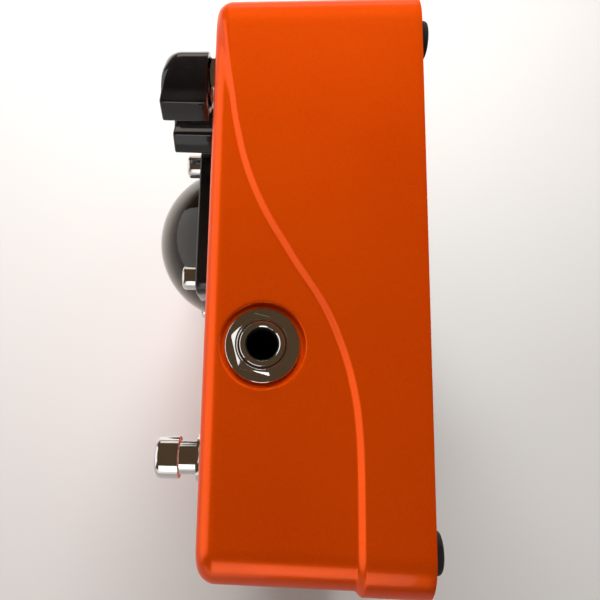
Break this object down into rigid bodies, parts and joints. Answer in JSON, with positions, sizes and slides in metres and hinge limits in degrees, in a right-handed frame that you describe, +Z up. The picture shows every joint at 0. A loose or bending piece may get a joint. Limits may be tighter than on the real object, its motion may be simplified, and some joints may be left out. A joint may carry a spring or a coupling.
{
  "type": "guitar effects pedal",
  "caption": "Floor effects pedal: metal box with a raised swoosh step, pointer knobs, a clamped smoked lamp dome, press foot switches, side audio jacks and rubber feet.",
  "frame": {"origin": "middle of the footprint, on the plane the rubber feet stand on", "axes": "+Z up out of the control face, +Y towards the rear edge where the knobs are, +X to the right as the player sees it"},
  "size_m": [0.1644, 0.127, 0.071],
  "materials": {
    "orange_paint": "gloss orange paint over die-cast metal",
    "black_plate": "satin black powder coat",
    "steel": "plated steel",
    "rubber": "black rubber",
    "gloss_black": "polished black",
    "matte_black": "moulded black",
    "smoked_dome": "smoked clear plastic",
    "chrome": "bright plating",
    "red_lens": "tinted clear resin",
    "board": "green solder mask"
  },
  "bodies": {
    "chassis": {"base_plate": "black_plate", "base_screw_1": "steel", "base_screw_2": "steel", "base_screw_3": "steel", "base_screw_4": "steel", "capacitor_large": "matte_black", "capacitor_small": "matte_black", "circuit_board": "board", "clamp_bolt_front_left": "chrome", "clamp_bolt_front_right": "chrome", "clamp_bolt_rear_left": "chrome", "clamp_bolt_rear_right": "chrome", "dome_clamp_left": "gloss_black", "dome_clamp_right": "gloss_black", "dome_gasket": "rubber", "enclosure_shell": "orange_paint", "foot_front_left": "rubber", "foot_front_right": "rubber", "foot_rear_left": "rubber", "foot_rear_right": "rubber", "jack_body_left": "matte_black", "jack_body_right": "matte_black", "jack_nut_left": "chrome", "jack_nut_right": "chrome", "jack_washer_left": "chrome", "jack_washer_right": "chrome", "lamp_core": "matte_black", "lamp_dome": "smoked_dome", "lamp_led_left": "red_lens", "lamp_led_right": "red_lens", "pot_body_left_inner": "steel", "pot_body_left_outer": "steel", "pot_body_right_inner": "steel", "pot_body_right_outer": "steel", "pot_nut_left_inner": "chrome", "pot_nut_left_outer": "chrome", "pot_nut_right_inner": "chrome", "pot_nut_right_outer": "chrome", "power_inlet": "matte_black", "power_inlet_nut": "steel", "status_led_left": "red_lens", "status_led_right": "red_lens", "switch_body_left": "matte_black", "switch_body_right": "matte_black", "switch_nut_left": "chrome", "switch_nut_right": "chrome", "switch_washer_left": "steel", "switch_washer_right": "steel"},
    "knob_right_outer": {"knob_right_outer": "gloss_black", "pot_shaft_right_outer": "steel"},
    "knob_right_inner": {"knob_right_inner": "gloss_black", "pot_shaft_right_inner": "steel"},
    "knob_left_inner": {"knob_left_inner": "gloss_black", "pot_shaft_left_inner": "steel"},
    "knob_left_outer": {"knob_left_outer": "gloss_black", "pot_shaft_left_outer": "steel"},
    "plunger_right": {"switch_plunger_right": "chrome"},
    "plunger_left": {"switch_plunger_left": "chrome"}
  },
  "joints": [
    {"name": "turn_knob_right_outer", "type": "hinge", "parent": "chassis", "child": "knob_right_outer", "pos_m": [0.0604, 0.0508, 0.05015], "axis": [0, 0, 1], "range_deg": [-2, 308]},
    {"name": "turn_knob_right_inner", "type": "hinge", "parent": "chassis", "child": "knob_right_inner", "pos_m": [0.0387, 0.0512, 0.05015], "axis": [0, 0, 1], "range_deg": [-12, 298]},
    {"name": "turn_knob_left_inner", "type": "hinge", "parent": "chassis", "child": "knob_left_inner", "pos_m": [-0.0387, 0.0512, 0.05015], "axis": [0, 0, 1], "range_deg": [-222, 88]},
    {"name": "turn_knob_left_outer", "type": "hinge", "parent": "chassis", "child": "knob_left_outer", "pos_m": [-0.0604, 0.0508, 0.05015], "axis": [0, 0, 1], "range_deg": [-132, 178]},
    {"name": "press_switch_right", "type": "slide", "parent": "chassis", "child": "plunger_right", "axis": [0, 0, -1], "range_m": [0, 0.002], "stiffness_N_per_m": 1500, "springref_m": -0.004},
    {"name": "press_switch_left", "type": "slide", "parent": "chassis", "child": "plunger_left", "axis": [0, 0, -1], "range_m": [0, 0.002], "stiffness_N_per_m": 1500, "springref_m": -0.004}
  ]
}
